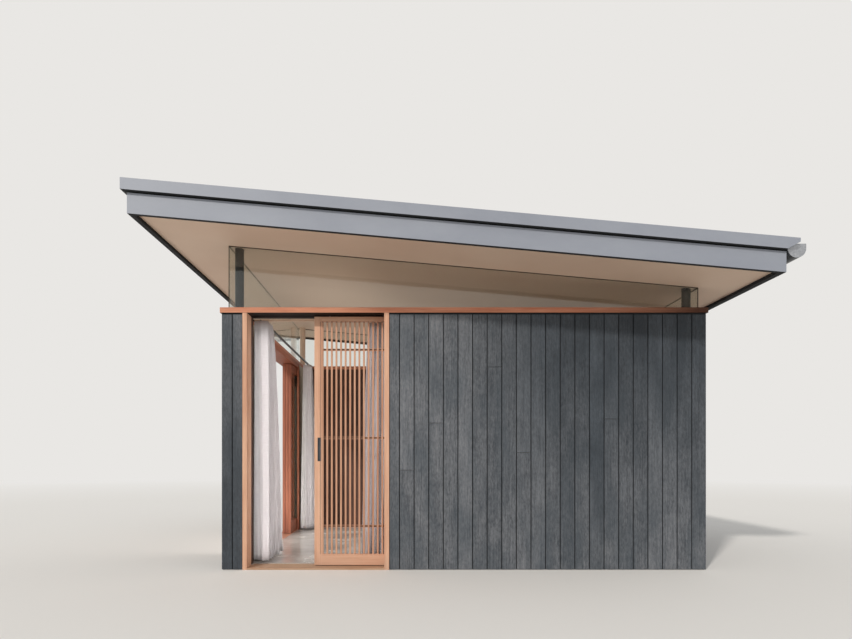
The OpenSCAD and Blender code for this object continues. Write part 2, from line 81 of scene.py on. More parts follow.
class Wire:
    # One socket of a finish, so that sums on it add Math nodes
    def __init__(self, finish, socket):
        self.finish = finish
        self.socket = socket

    def sum(self, operation, other, swapped=False, clamp=False):
        first, second = (other, self) if swapped else (self, other)
        settings = {"operation": operation, "use_clamp": clamp}
        return self.finish.node("Math", settings, {0: first, 1: second})

    def __add__(self, other):
        return self.sum("ADD", other)

    def __radd__(self, other):
        return self.sum("ADD", other)

    def __sub__(self, other):
        return self.sum("SUBTRACT", other)

    def __rsub__(self, other):
        return self.sum("SUBTRACT", other, swapped=True)

    def __mul__(self, other):
        return self.sum("MULTIPLY", other)

    def __truediv__(self, other):
        return self.sum("DIVIDE", other)

    def __pow__(self, other):
        return self.sum("POWER", other)

    def __gt__(self, other):
        return self.sum("GREATER_THAN", other)

    def __lt__(self, other):
        return self.sum("LESS_THAN", other)

    def modulo(self, other):
        return self.sum("FLOORED_MODULO", other)

    def clamped(self):
        return self.sum("ADD", 0.0, clamp=True)

    def size(self):
        return self.finish.node("Math", {"operation": "ABSOLUTE"}, {0: self})


class Finish:
    # A material, and the nodes that make it
    def __init__(self, name):
        self.material = bpy.data.materials.new(name)
        self.material.use_nodes = True
        self.tree = self.material.node_tree
        self.tree.nodes.clear()

    def node(self, kind, settings=None, values=None, out=0):
        made = self.tree.nodes.new("ShaderNode" + kind)
        for key, value in (settings or {}).items():
            setattr(made, key, value)
        for key, value in (values or {}).items():
            socket = made.inputs[key]
            if isinstance(value, Wire):
                self.tree.links.new(value.socket, socket)
            else:
                socket.default_value = value
        return None if out is None else Wire(self, made.outputs[out])

    def place(self):
        return self.node("TexCoord", out="Object")

    def flat(self):
        return self.node("UVMap")

    def mark(self, name):
        return self.node("Attribute", {"attribute_name": name}, out="Fac")

    def axes(self, vector):
        parts = self.node("SeparateXYZ", None, {0: vector})
        return [Wire(self, s) for s in parts.socket.node.outputs]

    def facing(self):
        # The three parts of the way a face looks
        return self.axes(self.node("TexCoord", out="Normal"))

    def undersides(self):
        # 1 on faces that look down, 0 on all others
        return self.facing()[2] < -0.5

    def stretched(self, vector, scale):
        return self.node("Mapping", None, {"Vector": vector, "Scale": scale})

    def noise(self, vector, scale, detail=3.0, rough=0.5, warp=0.0):
        values = {"Vector": vector, "Scale": scale, "Detail": detail, "Roughness": rough, "Distortion": warp}
        return self.node("TexNoise", None, values)

    def between(self, value, low, high):
        values = {"Value": value, "From Min": low, "From Max": high}
        return self.node("MapRange", {"clamp": True}, values)

    def blend(self, mask, first, second, how="MIX"):
        settings = {"data_type": "RGBA", "blend_type": how}
        values = {0: mask, 6: opaque(first), 7: opaque(second)}
        return self.node("Mix", settings, values, out=2)

    def bump(self, height, distance, strength=1.0, under=None):
        values = {"Height": height, "Distance": distance, "Strength": strength}
        if under is not None:
            values["Normal"] = under
        return self.node("Bump", None, values)

    def shader(self, **values):
        named = {key.replace("_", " "): opaque(value) for key, value in values.items()}
        return self.node("BsdfPrincipled", None, named)

    def done(self, surface):
        self.node("OutputMaterial", None, {"Surface": surface}, out=None)
        return self.material


def opaque(value):
    return (*value, 1.0) if isinstance(value, tuple) and len(value) == 3 else value


def paint(red, green, blue):
    # A colour as it is seen, 0 to 255, turned into the linear one that shaders take
    seen = np.array([red, green, blue]) / 255
    linear = np.where(seen <= 0.04045, seen / 12.92, ((seen + 0.055) / 1.055) ** 2.4)
    return tuple(float(x) for x in linear)


# Timber

timberLook = {
    "draw": 0.045,           # length of the pattern across the grain, as a share of that along it
    "bands": 22,             # growth bands, lines and fibres, in repeats a metre
    "lines": 95,
    "fibres": 420,
    "lineDepth": 0.0006,
    "dampTop": 0.16,         # height up to which rain splashes have darkened the wood
}
paleTimber = {"dark": paint(186, 132, 102), "light": paint(222, 178, 148), "grey": paint(168, 138, 118)}
slatTimber = {"dark": paint(172, 118, 88), "light": paint(208, 162, 132), "grey": paint(168, 138, 118)}
redTimber = {"dark": paint(158, 92, 68), "light": paint(208, 148, 118), "grey": paint(120, 84, 66)}
frontTimber = {
    "dark": paint(172, 104, 78), "light": paint(216, 156, 126), "grey": paint(120, 84, 66), "gloss": 0.12,
}
innerTimber = {"dark": paint(118, 60, 40), "light": paint(172, 104, 76), "grey": paint(104, 70, 54)}
sillTimber = {"dark": paint(150, 112, 84), "light": paint(204, 166, 134), "grey": paint(150, 128, 108)}
shadedTimber = paint(16, 8, 7)
alongGrain = timberLook["draw"]
grainWays = {"x": (alongGrain, 1, 1), "y": (1, alongGrain, 1), "z": (1, 1, alongGrain)}


def grain(finish, place, way):
    # Height and lightness of straight grain: three noises, each drawn out along the wood
    drawn = finish.stretched(place, grainWays[way])
    bands = finish.noise(drawn, timberLook["bands"], detail=2.0, warp=0.6)
    lines = finish.noise(drawn, timberLook["lines"], detail=3.0, rough=0.6)
    fibres = finish.noise(drawn, timberLook["fibres"], detail=2.0)
    return bands * 0.45 + lines * 0.4 + fibres * 0.15, lines * 0.6 + fibres * 0.4


def timber(name, look, way, crossWay=None, crossing=None, dark=None):
    # crossing(finish, place) is a mask of the parts whose grain runs the other way, such as rails, and
    # dark(finish, place) of those painted nearly black as painted shade
    finish = Finish(name)
    place = finish.place()
    lightness, height = grain(finish, place, way)
    if crossing is not None:
        mask = crossing(finish, place)
        otherLightness, otherHeight = grain(finish, place, crossWay)
        lightness = lightness * (1 - mask) + otherLightness * mask
        height = height * (1 - mask) + otherHeight * mask
    broad = finish.noise(place, 1.7, detail=2.0)
    share = finish.between(lightness + (broad - 0.5) * 0.35, 0.3, 0.7)
    wood = finish.blend(share, look["dark"], look["light"])
    rise = finish.axes(place)[2]
    damp = finish.between(rise, timberLook["dampTop"], 0.0) * finish.between(broad, 0.3, 0.6) * 0.45
    wood = finish.blend(damp, wood, look["grey"])
    if dark is not None:
        # Painted shade: what the dark mask covers goes nearly black
        wood = finish.blend(dark(finish, place) * 0.985, wood, shadedTimber)
    bump = finish.bump(height, timberLook["lineDepth"], 0.6)
    values = {"Base_Color": wood, "Roughness": 0.42 + height * 0.3, "Normal": bump}
    return finish.done(finish.shader(Specular_IOR_Level=look.get("gloss", 0.5), **values))


# Charred boards

boardLook = {
    "dark": paint(50, 55, 61),
    "light": paint(116, 118, 122),
    "blue": paint(66, 74, 81),
    # what the painted shade, and the darkest boards' own tone, let through of each colour
    "shadeAndDarkBoards": (0.29, 0.345, 0.39),    # what the soot lets through of each colour
    # colour of the painted shade in the grooves and the shadow gap
    "grooveShade": paint(20, 24, 28),
    # x between which the front's boards go from unshaded to painted shade
    "shadeSpanX": (-0.1, 0.75),      # x between which the front's sunlit boards give way to sooty ones
    "topGap": 0.014,             # height of the shadow gap under the timber plates
    "grooveDepth": 0.012,
    "grooveWidth": 0.008,
    "edge": 0.0015,
    "pitch": 0.1314,
    "thick": 0.022,
    "uneven": 0.0006,            # how far a board's face may lie behind the next one's
    "jointGap": 0.0012,          # from the middle of a butt joint to each board's end
    "jointShare": 0.2,           # share of the side and back boards that have one, and its heights
    "jointHeights": (0.6, 1.9),
    "seat": 0.0002,
}


def charredBoards():
    finish = Finish("charredBoards")
    place = finish.place()
    tone = finish.mark("boardTone")
    groove = finish.mark("inGroove")
    streaks = finish.noise(finish.stretched(place, (70, 70, 2.2)), 1.0, detail=5.0, rough=0.62)
    hairs = finish.noise(finish.stretched(place, (420, 420, 9)), 1.0, detail=2.0)
    clouds = finish.noise(finish.stretched(place, (5, 5, 1.6)), 1.0, detail=3.0)
    blots = finish.noise(finish.stretched(place, (16, 16, 9)), 1.0, detail=4.0, rough=0.6)
    flecks = finish.noise(finish.stretched(place, (74, 74, 24)), 1.0, detail=5.0, rough=0.7)
    light = streaks * 0.24 + flecks * 0.32 + hairs * 0.12 + clouds * 0.13 + blots * 0.13 + tone * 0.06
    share = finish.between(light, 0.405, 0.595)
    wood = finish.blend(share, boardLook["dark"], boardLook["light"])
    wood = finish.blend(finish.between(clouds, 0.58, 0.36) * 0.5, wood, boardLook["blue"])
    across, _, rise = finish.axes(place)
    # Painted shade: darker towards the right and towards the top, as under the eave and trees, and near the
    # left corner towards the bottom; the darkest boards by their own tone join in
    ragged = across + (clouds - 0.5) * 0.9
    shadeAndDarkBoards = finish.between(ragged, *boardLook["shadeSpanX"]) * finish.between(rise, 0.0, 1.9)
    leftStripShade = finish.between(across, -1.90, -2.02) * finish.between(rise, 2.7, 0.5)
    shadeAndDarkBoards = (shadeAndDarkBoards * 0.98 + finish.between(tone, 0.9, 1.0) * 0.5 + leftStripShade).clamped()
    wood = finish.blend(shadeAndDarkBoards, wood, boardLook["shadeAndDarkBoards"], "MULTIPLY")
    # Painted shade: the grooves and the shadow gap under the plates go nearly black
    wood = finish.blend(groove, wood, boardLook["grooveShade"])
    bump = finish.bump(streaks * 0.7 + hairs * 0.3, 0.0011, 0.7)
    rough = 0.52 + streaks * 0.28
    return finish.done(finish.shader(Base_Color=wood, Roughness=rough, Normal=bump))


def darkLining():
    finish = Finish("darkLining")
    place = finish.place()
    across, _, rise = finish.axes(place)
    streaks = finish.noise(finish.stretched(place, (60, 60, 2.4)), 1.0, detail=4.0, rough=0.6)
    wood = finish.blend(finish.between(streaks, 0.3, 0.7), paint(52, 32, 24), paint(96, 62, 46))
    joint = ((across + 10.0) / 0.135).modulo(1.0) < 0.03
    wood = finish.blend(joint, wood, paint(20, 13, 10))
    bump = finish.bump(streaks * 0.5 - joint, 0.0015, 0.6)
    return finish.done(finish.shader(Base_Color=wood, Roughness=0.5 + streaks * 0.2, Normal=bump))


# Ground, lining and paint

floorLook = {"cut": 0.576, "cutHalf": 0.003}     # y of the saw cut across the floor, and half its width


def concrete():
    finish = Finish("polishedConcrete")
    place = finish.place()
    _, deep, _ = finish.axes(place)
    clouds = finish.noise(place, 1.9, detail=5.0, rough=0.6)
    specks = finish.noise(place, 130.0, detail=2.0)
    stone = finish.blend(finish.between(clouds, 0.3, 0.7), paint(150, 145, 140), paint(182, 178, 172))
    stone = finish.blend(finish.between(specks, 0.62, 0.72) * 0.5, stone, paint(110, 106, 102))
    cut = (deep - floorLook["cut"]).size() < floorLook["cutHalf"]
    stone = finish.blend(cut, stone, paint(52, 50, 48))
    bump = finish.bump(specks * 0.2 - cut, 0.0004, 0.3)
    rough = 0.16 + finish.between(clouds, 0.35, 0.75) * 0.18
    return finish.done(finish.shader(Base_Color=stone, Roughness=rough, Normal=bump))


def mattPaint(name, dark, light, darkBrownFaces=None):
    # Roller texture: two fine noises under a paint that is clouded a little. The optional mask (finish,
    # place) marks faces painted dark brown instead
    finish = Finish(name)
    place = finish.place()
    clouds = finish.noise(place, 1.1, detail=3.0)
    nap = finish.noise(place, 260.0, detail=2.0)
    colour = finish.blend(finish.between(clouds, 0.3, 0.7), dark, light)
    if darkBrownFaces is not None:
        colour = finish.blend(darkBrownFaces(finish, place), colour, paint(66, 42, 31))
    bump = finish.bump(nap, 0.0004, 0.5)
    return finish.done(finish.shader(Base_Color=colour, Roughness=0.6 + nap * 0.15, Normal=bump))


# Metal

def coatedSheet(name, inwardShade=False):
    # Factory paint on folded sheet: faint clouds of dust, and a very shallow dish between folds. What looks
    # down is painted nearly black as painted shade, and when inward faces are asked for, so are faces
    # towards the building
    finish = Finish(name)
    place = finish.place()
    dust = finish.noise(finish.stretched(place, (1.6, 1.6, 3.0)), 1.0, detail=4.0, rough=0.55)
    dish = finish.noise(place, 2.6, detail=1.0)
    speck = finish.noise(place, 340.0, detail=2.0)
    colour = finish.blend(finish.between(dust, 0.3, 0.7), paint(136, 140, 150), paint(147, 151, 160))
    # Painted shade: faces that look down, and inward ones if asked, go nearly black
    paintedUnderShade = finish.undersides()
    if inwardShade:
        across, deep, _ = finish.axes(place)
        outX, outY, _ = finish.facing()
        paintedUnderShade = (paintedUnderShade + (outX * across + outY * deep < -0.5)).clamped()
    colour = finish.blend(paintedUnderShade * 0.97, colour, paint(14, 15, 17))
    bump = finish.bump(speck, 0.0002, 0.25, finish.bump(dish, 0.003, 0.3))
    rough = 0.40 + finish.between(dust, 0.3, 0.8) * 0.12 + paintedUnderShade * 0.5
    return finish.done(finish.shader(Base_Color=colour, Roughness=rough, Normal=bump))


def zincSheet():
    finish = Finish("zincSheet")
    place = finish.place()
    spangle = finish.node("TexVoronoi", None, {"Vector": place, "Scale": 75.0}, out="Color")
    spangle = finish.axes(spangle)[0]
    dust = finish.noise(place, 6.0, detail=4.0)
    colour = finish.blend(spangle * 0.5 + dust * 0.5, paint(146, 149, 154), paint(186, 188, 192))
    # Painted shade: faces that look down go dark
    below = finish.between(finish.facing()[2], -0.1, -0.8)
    colour = finish.blend(below * 0.85, colour, paint(36, 38, 41))
    rough = 0.34 + dust * 0.2
    return finish.done(finish.shader(Base_Color=colour, Roughness=rough, Metallic=0.75))


def darkMetal(name, colour, rough, pale=None, gloss=0.5):
    # pale(finish, place) is a mask of the parts that are painted like the ceiling
    finish = Finish(name)
    place = finish.place()
    grit = finish.noise(place, 210.0, detail=3.0)
    wear = finish.noise(place, 9.0, detail=4.0)
    worn = tuple(min(1.0, c * 1.9 + 0.01) for c in colour)
    shade = finish.blend(finish.between(wear, 0.45, 0.75) * 0.5, colour, worn)
    if pale is not None:
        shade = finish.blend(pale(finish, place), shade, paint(212, 186, 163))
    bump = finish.bump(grit, 0.0003, 0.4)
    values = {"Base_Color": shade, "Roughness": rough + wear * 0.15, "Specular_IOR_Level": gloss}
    return finish.done(finish.shader(Normal=bump, **values))


# Glass and cloth

def clearGlass():
    # A share of each ray is mirrored, as the angle asks, and the rest goes straight through a faint green
    finish = Finish("clearGlass")
    place = finish.place()
    smear = finish.noise(place, 3.0, detail=4.0)
    facing = finish.node("LayerWeight", None, {"Blend": 0.5}, out="Facing")
    mirrored = facing ** 5 * 0.96 + 0.04
    through = finish.node("BsdfTransparent", None, {"Color": opaque((0.93, 0.945, 0.93))})
    gloss = finish.shader(Base_Color=(0.95, 0.97, 0.97), Metallic=1.0, Roughness=0.02 + smear * 0.03)
    mixed = finish.node("MixShader", None, {0: mirrored, 1: through, 2: gloss})
    return finish.done(mixed)


clothLook = {"pale": paint(238, 235, 237), "shade": paint(222, 217, 219), "thread": 900.0, "hem": 0.075}


def curtainCloth():
    # Plain weave: two crossing waves a thread apart, with slubs that run along the threads
    finish = Finish("curtainCloth")
    spread = finish.flat()
    across, down, _ = finish.axes(spread)
    warp = finish.node("Math", {"operation": "SINE"}, {0: across * (clothLook["thread"] * math.tau)})
    weft = finish.node("Math", {"operation": "SINE"}, {0: down * (clothLook["thread"] * math.tau)})
    weave = warp * weft
    slubs = finish.noise(finish.stretched(spread, (500, 12, 1)), 1.0, detail=3.0)
    nubs = finish.noise(finish.stretched(spread, (12, 500, 1)), 1.0, detail=3.0)
    colour = finish.blend(finish.between(slubs + nubs, 0.7, 1.3), clothLook["shade"], clothLook["pale"])
    seam = (down - clothLook["hem"]).size() < 0.002
    colour = finish.blend(seam * 0.5, colour, clothLook["shade"])
    bump = finish.bump(weave * 0.3 + slubs + nubs - seam, 0.0004, 0.5)
    face = finish.shader(Base_Color=colour, Roughness=0.9, Sheen_Weight=0.15, Normal=bump)
    glow = finish.node("BsdfTranslucent", None, {"Color": colour})
    return finish.done(finish.node("MixShader", None, {0: 0.22, 1: face, 2: glow}))


# Finishes on the frame's own nodes

leafGrain = {
    "lowRail": 0.183,        # height of the lower rails' top edge, and of the upper rails' lower one
    "highRail": 2.147,
    "stile": 0.092,          # width of a stile
    "head": 2.245,           # height at which the frame's head starts
}
# Where the screen's painted shade lies: the laths' dark middles, the slats' shaded tops and a line down each
# stile
screenMarks = {
    "lathInset": 0.255,      # from a slat's end to the middle of the lath near it
    "lathHalf": 0.0058,      # half the height of a lath's dark middle
    "lathSet": 0.006,        # how far behind the slats' faces it starts
    "shadedTop": 0.005,      # length of the slats' top ends that the rail shades
    # the stiles' lines of painted shade: how far from the slats they lie, and half their width
    "shadeLineFrom": 0.0125,    # from the slats to the middle of a stile's groove
    "shadeLineHalf": 0.0018,
}
plateLook = {"shadedFrom": 0.9, "shadedTo": 2.1, "shade": 0.88}   # x where the shade starts and is full
trackLook = {"deep": 0.06, "side": 0.05}     # limits that part the front track from the left one


def leafRails(node):
    # Rails lie between the stiles, below the pane and above it
    low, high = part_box(node)

    def mask(finish, place):
        _, deep, rise = finish.axes(place)
        middle = (low.y + high.y) / 2
        between = (deep - middle).size() < (high.y - low.y) / 2 - leafGrain["stile"]
        return (between * ((rise < leafGrain["lowRail"]) + (rise > leafGrain["highRail"]))).clamped()
    return mask


def sideHead(finish, place):
    return finish.axes(place)[2] > leafGrain["head"]


def lathsBehind(finish, place):
    # Painted shade: the middle of the cross laths' faces, which lie well behind the slats' own faces, and
    # the slats' top ends, which the rail shades, are masked to go nearly black
    outward = finish.facing()[1] < -0.5
    low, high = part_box("screen_slats")
    _, deep, rise = finish.axes(place)
    away = (rise - (low.z + high.z) / 2).size()
    half = screenMarks["lathHalf"]
    hollow = (away < half) + ((away - (high.z - low.z) / 2 + screenMarks["lathInset"]).size() < half)
    hollow = outward * (deep > low.y + screenMarks["lathSet"]) * hollow
    return (hollow + (rise > high.z - screenMarks["shadedTop"])).clamped()


def stileShadeLines(finish, place):
    # Painted shade: a fine dark line, like the shadow in a groove, runs down each stile, a bead's width from
    # the slats
    low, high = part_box("screen_slats")
    across, _, rise = finish.axes(place)
    middle = (low.x + high.x) / 2
    beside = (across - middle).size() - (high.x - low.x) / 2
    groove = (beside - screenMarks["shadeLineFrom"]).size() < screenMarks["shadeLineHalf"]
    return groove * ((rise - (low.z + high.z) / 2).size() < (high.z - low.z) / 2)


# Painted shade: the undersides of timber that uses this go nearly black
def facingDown(finish, place):
    return finish.undersides()


def plateShade(finish, place):
    # Painted shade on its underside, and along the length under the low eave, growing towards the right
    below = finish.undersides()
    eave = finish.between(finish.axes(place)[0], plateLook["shadedFrom"], plateLook["shadedTo"])
    return (below + eave * plateLook["shade"]).clamped()


def frontTrack(finish, place):
    across, deep, _ = finish.axes(place)
    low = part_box("curtain_tracks")[0]
    return (deep < low.y + trackLook["deep"]) * (across > low.x + trackLook["side"])


def rearPosts(finish, place):
    return finish.axes(place)[1] > 0.0


def doorReveal(finish, place):
    # The end of the short front wall, which the left jamb leaves uncovered, painted dark brown
    return finish.facing()[0] > 0.5


palePosts = timber("paleTimberUpright", paleTimber, "z")
stiles = timber("paleTimberStiles", paleTimber, "z", dark=stileShadeLines)
paleRails = timber("paleTimberLevel", paleTimber, "x")
redPlates = timber("redTimberLong", redTimber, "x", dark=facingDown)
frontPlate = timber("redTimberFront", frontTimber, "x", dark=plateShade)
slats = timber("paleTimberSlats", slatTimber, "z", dark=lathsBehind)
sillBoards = timber("sillTimberLevel", sillTimber, "x")
redSides = timber("redTimberDeep", redTimber, "y")
redFrame = timber("redTimberFrame", innerTimber, "z", "y", sideHead)
redLeaf = timber("redTimberLeaf", innerTimber, "z", "y", leafRails("front_leaf_frame"))
boards = charredBoards()
lining = mattPaint("wallLining", paint(196, 192, 180), paint(208, 204, 192))
soffit = mattPaint("soffitPaint", paint(208, 180, 158), paint(216, 190, 168))
frontLining = mattPaint("frontWallLining", paint(196, 192, 180), paint(208, 204, 192), doorReveal)
# Painted shade: the roof deck, seen mostly in the shadow gap under the capping, is near black
shadowGapBlack = mattPaint("roofCore", paint(26, 26, 28), paint(38, 38, 40))
greySheet = coatedSheet("coatedSheet")
fasciaSheet = coatedSheet("fasciaSheet", inwardShade=True)
zinc = zincSheet()
blackPaint = darkMetal("blackPaint", paint(26, 30, 33), 0.32)
trackPaint = darkMetal("trackPaint", paint(26, 30, 33), 0.32, frontTrack)
postPaint = darkMetal("postPaint", paint(26, 30, 33), 0.32, rearPosts)
pullPaint = darkMetal("pullPaint", paint(62, 66, 71), 0.4)
railPaint = darkMetal("railPaint", paint(14, 15, 16), 0.65, gloss=0.1)
glass = clearGlass()
cloth = curtainCloth()

nodeFinishes = {
    "floor_slab": concrete(),
    "front_wall": frontLining, "front_wall_outer_leaf": lining, "front_wall_inner_leaf": lining,
    "left_wall": lining, "left_wall_pocket": lining, "right_wall": lining, "back_wall": darkLining(),
    "front_plate": frontPlate, "back_plate": redPlates, "side_plates": redSides,
    "door_jambs": palePosts, "door_sill": sillBoards, "door_track": railPaint,
    "side_frame": redFrame, "side_sill": redSides,
    "front_glass": glass, "side_glass": glass, "back_glass": glass, "corner_posts": postPaint,
    "ceiling_lining": soffit, "roof_deck": shadowGapBlack,
    "fascias": fasciaSheet, "roof_capping": greySheet, "roof_sheeting": greySheet, "gutter": zinc,
    "curtain_tracks": trackPaint,
    "screen_stiles": stiles, "screen_rails": paleRails, "screen_slats": slats,
    "screen_pull": pullPaint, "screen_hangers": zinc,
    "front_leaf_frame": redLeaf, "middle_leaf_frame": redLeaf, "rear_leaf_frame": redLeaf,
    "front_leaf_glass": glass, "middle_leaf_glass": glass, "rear_leaf_glass": glass,
}
for nodeName, nodeFinish in nodeFinishes.items():
    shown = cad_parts[nodeName]
    shown.data.materials.clear()
    shown.data.materials.append(nodeFinish)
print("garden pod: the frame's nodes have their finishes")


# New pieces

def carried(rings):
    # Faces of profiles carried along paths: each corner joins the same one on the next ring, and both ends
    # are closed. rings is numbered (copy, ring, corner, 3)
    copies, count, corners = rings.shape[:3]
    number = np.arange(copies * count * corners).reshape(copies, count, corners)
    low, high = number[:, :-1], number[:, 1:]
    quads = np.stack([low, np.roll(low, -1, 2), np.roll(high, -1, 2), high], -1).reshape(-1, 4)
    ends = np.concatenate([number[:, 0, ::-1], number[:, -1]])
    return quads.tolist() + ends.tolist()


def addPiece(name, points, faces, finish, body="building", smooth=False, marks=None):
    mesh = bpy.data.meshes.new(name)
    mesh.from_pydata(points.reshape(-1, 3).tolist(), [], faces)
    mesh.polygons.foreach_set("use_smooth", [smooth] * len(mesh.polygons))
    for mark, values in (marks or {}).items():
        layer = mesh.attributes.new(mark, "FLOAT", "POINT")
        layer.data.foreach_set("value", values.astype(np.float32).ravel())
    mesh.materials.append(finish)
    mesh.update()
    piece = bpy.data.objects.new(name, mesh)
    scene.collection.objects.link(piece)
    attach(piece, body)
    return piece


def turned(look):
    # A profile of radius and height turned round an upright axis
    turn = np.arange(look["sides"]) * math.tau / look["sides"]
    radius = np.array([r for r, _ in look["rings"]])[:, None]
    lift = np.array([h for _, h in look["rings"]])[:, None]
    return np.stack([radius * np.cos(turn), radius * np.sin(turn), lift + 0 * turn], -1)


# Cladding boards

boardProfile = {
    # Corners of a board's section, from the back anticlockwise: which edge each is measured from, how far in
    # from it, and how far out from the wall
    "edge": [0, 1, 1, 1, 1, 1, 0, 0, 0, 0],
    "inset": ["seat", "seat", "seat", "half", "half", "round", "round", "half", "half", "seat"],
    "out": ["back", "back", "groove", "groove", "arris", "face", "face", "arris", "groove", "groove"],
}


def boardRings(u0, u1, z0, z1, lift, thick, top):
    # Widths, depths and heights of each board, ring and corner. A board's section rises through six rings:
    # the lowest and the fourth are drawn back by the rounded edge, and the last two make the shadow gap of
    # boards that reach the top
    half = boardLook["grooveWidth"] / 2
    bottom = thick - boardLook["grooveDepth"]
    insets = {"seat": boardLook["seat"], "half": half, "round": half + boardLook["edge"]}
    depths = {"back": 0.0, "groove": bottom, "arris": thick - boardLook["edge"], "face": thick}
    edge = np.array(boardProfile["edge"], float)
    inset = np.array([insets[k] for k in boardProfile["inset"]])
    out = np.array([depths[k] for k in boardProfile["out"]])
    near = u0[:, None] + inset
    far = u1[:, None] - inset
    width = np.where(edge == 0, near, far)[:, None, :].repeat(6, 1)
    proud = out > bottom + 1e-6
    depth = np.broadcast_to(out, (len(u0), 6, len(out))).copy()
    depth[:, :, proud] += lift[:, None, None]
    depth[:, [0, 3]] = np.minimum(depth[:, [0, 3]], thick - boardLook["edge"])
    depth[:, 4:] = np.minimum(depth[:, 4:], bottom)
    seat = boardLook["seat"]
    shoulder = z1 - np.where(z1 > top - 1e-4, boardLook["topGap"], 3 * seat)
    rise = [z0, z0 + boardLook["edge"], shoulder - boardLook["edge"], shoulder, shoulder + seat, z1]
    height = np.broadcast_to(np.stack(rise, 1)[:, :, None], width.shape)
    # inGroove marks the grooves and the shadow gap, which the finish paints dark as shade
    groove = np.broadcast_to(np.where(proud, 0.0, 1.0), width.shape).copy()
    groove[:, 4:] = 1.0
    return width, depth, height, groove


def splitBoards(edges, low, high, joints):
    # Lengths of board between the given edges, with a butt joint where joints names a height
    u0, u1, z0, z1 = [], [], [], []
    gap = boardLook["jointGap"]
    for number, (a, b) in enumerate(edges):
        cuts = joints.get(number, [])
        bottoms = [low] + [c + gap for c in cuts]
        tops = [c - gap for c in cuts] + [high]
        for bottom, top in zip(bottoms, tops):
            u0.append(a)
            u1.append(b)
            z0.append(bottom)
            z1.append(top)
    return [np.array(v, float) for v in (u0, u1, z0, z1)]


def clad(name, runs, node, along, out, face, seed):
    # Boards on one wall. along and out are unit vectors in plan, face is where the boards' backs lie
    low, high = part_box(node)
    chance = np.random.default_rng(seed)
    sets = [splitBoards(edges, low.z, high.z, joints) for edges, joints in runs]
    u0, u1, z0, z1 = [np.concatenate(parts) for parts in zip(*sets)]
    thick = boardLook["thick"]
    lift = chance.uniform(-boardLook["uneven"], 0.0, len(u0))
    width, depth, height, groove = boardRings(u0, u1, z0, z1, lift, thick, high.z)
    along, out = np.array(along, float), np.array(out, float)
    points = width[..., None] * along + (face + depth)[..., None] * out
    points[..., 2] = height
    if np.cross(along, out)[2] < 0:
        points = points[:, :, ::-1]
        groove = groove[:, :, ::-1]
    tone = np.broadcast_to(chance.uniform(0, 1, len(u0))[:, None, None], width.shape)
    marks = {"boardTone": tone, "inGroove": groove}
    piece = addPiece(name, points, carried(points), boards, marks=marks)
    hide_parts(node)
    return piece


def boardEdges(start, end):
    # Edges of boards of one pitch from start to end, with the odd width first
    pitch = boardLook["pitch"]
    count = int((end - start + 1e-4) / pitch)
    odd = end - start - count * pitch
    cuts = start + odd + np.arange(count + 1) * pitch
    cuts = cuts[cuts < end + 1e-4]
    if cuts[-1] < end - 0.01:
        cuts = np.append(cuts, end)
    cuts[-1] = end
    starts = np.concatenate([[start], cuts[:-1]])
    return [(a, b) for a, b in zip(starts, cuts) if b - a > 0.01]


def scattered(edges, seed):
    # Butt joints on some of the boards, each at a height of its own
    chance = np.random.default_rng(seed)
    low, high = boardLook["jointHeights"]
    share = boardLook["jointShare"]
    return {i: [chance.uniform(low, high)] for i in range(len(edges)) if chance.uniform() < share}


frontJoints = {7: [1.824], 3: [1.320], 9: [1.053], 1: [0.897], 15: [1.356]}
cornerBoard = 0.097
frontLow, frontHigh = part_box("front_cladding")
jambLow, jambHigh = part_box("door_jambs")
leftStrip = [(frontLow.x, frontLow.x + cornerBoard), (frontLow.x + cornerBoard, jambLow.x)]
rightStrip = boardEdges(jambHigh.x, frontHigh.x)
frontRuns = [(leftStrip, {}), (rightStrip, frontJoints)]
clad("front_boards", frontRuns, "front_cladding", (1, 0, 0), (0, -1, 0), -frontHigh.y, 11)

leftLow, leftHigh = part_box("left_cladding")
frameLow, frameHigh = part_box("side_frame")
leftFront = boardEdges(leftLow.y, frameLow.y)
leftBack = boardEdges(frameHigh.y, leftHigh.y)
leftRuns = [(leftFront, scattered(leftFront, 5)), (leftBack, scattered(leftBack, 6))]
clad("left_boards", leftRuns, "left_cladding", (0, 1, 0), (-1, 0, 0), -leftHigh.x, 12)

rightLow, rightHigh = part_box("right_cladding")
rightEdges = boardEdges(rightLow.y, rightHigh.y)
rightRuns = [(rightEdges, scattered(rightEdges, 7))]
clad("right_boards", rightRuns, "right_cladding", (0, 1, 0), (1, 0, 0), rightLow.x, 13)

backLow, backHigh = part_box("back_cladding")
backEdges = boardEdges(backLow.x, backHigh.x)
backRuns = [(backEdges, scattered(backEdges, 8))]
clad("back_boards", backRuns, "back_cladding", (1, 0, 0), (0, 1, 0), backLow.y, 14)
print("garden pod: the cladding boards are up")


# Curtains

curtainLook = {
    "thick": 0.0012,
    "headGap": 0.008,        # room for the gliders between the cloth and the track
    "across": 560,           # points along the cloth and down it
    "down": 40,
    "ripple": 0.0035,        # height of the small folds that ride on the large ones
    "rippleLength": 0.055,
    "roundness": 0.5,        # 0 for plain waves, up to 1 for loops that swing round
}


def spreadOf(look, t):
    return look["top"] + (look["bottom"] - look["top"]) * t ** look["flare"]


def longWayOf(low, high):
    # 0 for a curtain that runs along x, 1 for one along y
    return 0 if high.x - low.x > high.y - low.y else 1


def leanOf(look, t, length):
    # How far the cloth's start lies from the near end of the length it may take up
    return look["anchor"] * (length - spreadOf(look, t))


